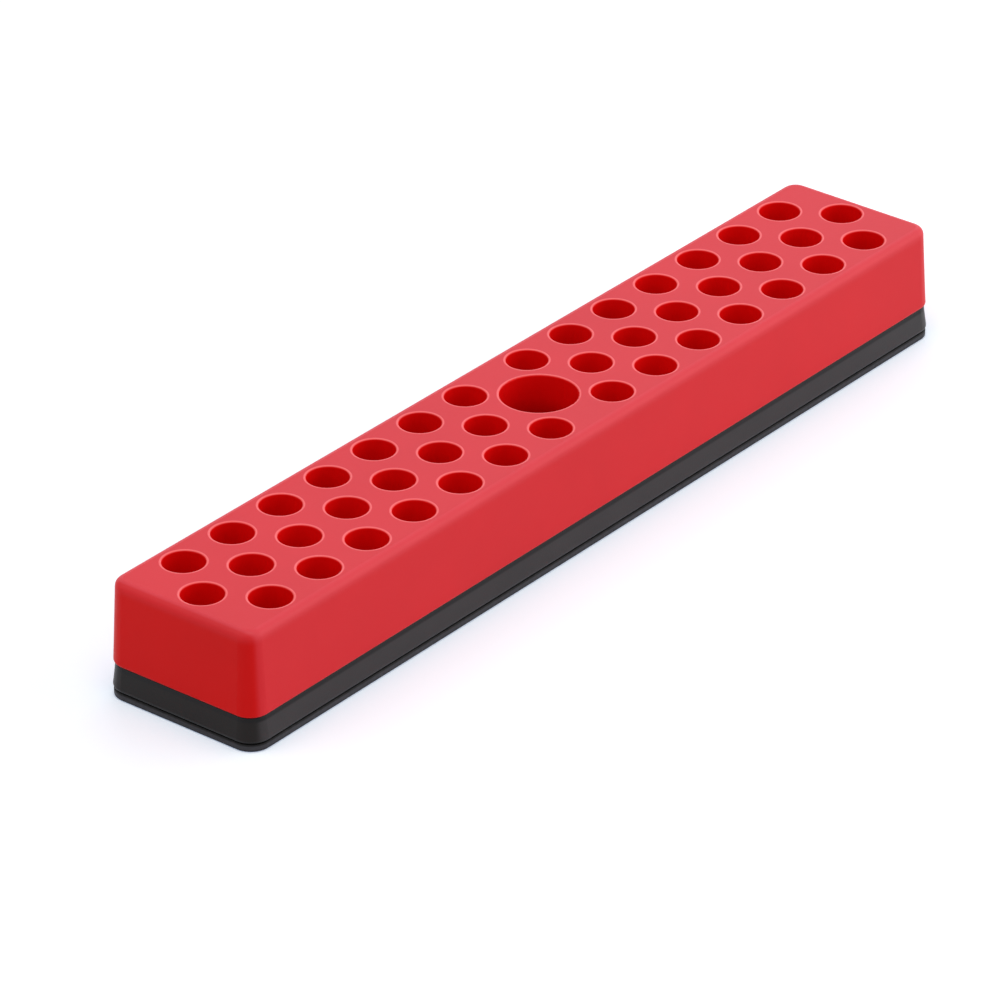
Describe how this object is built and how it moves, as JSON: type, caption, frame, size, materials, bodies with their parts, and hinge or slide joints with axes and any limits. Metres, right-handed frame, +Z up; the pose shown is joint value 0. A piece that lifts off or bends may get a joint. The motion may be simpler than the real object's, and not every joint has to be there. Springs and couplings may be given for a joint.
{
  "type": "magnetic bit holder",
  "caption": "Long red bench block with three lines of round sockets for hexagon bits and one large driver socket, on a black magnetic base tray.",
  "frame": {"origin": "middle of the underside, on the bench", "axes": "+X along the length, +Y across it, +Z up out of the sockets"},
  "size_m": [0.18, 0.031, 0.0207],
  "materials": {
    "block_red": "matte moulded vinyl, soft edges",
    "tray_black": "satin moulded plastic",
    "ferrite": "dull sintered ferrite",
    "sheet_black": "matte rubber sheet"
  },
  "bodies": {
    "root": {"bit_block": "block_red", "base_tray": "tray_black", "magnet_1": "ferrite", "magnet_2": "ferrite", "magnet_3": "ferrite", "magnet_4": "ferrite", "magnet_5": "ferrite", "magnet_6": "ferrite", "magnet_7": "ferrite", "magnet_8": "ferrite", "grip_sheet": "sheet_black"}
  },
  "joints": []
}
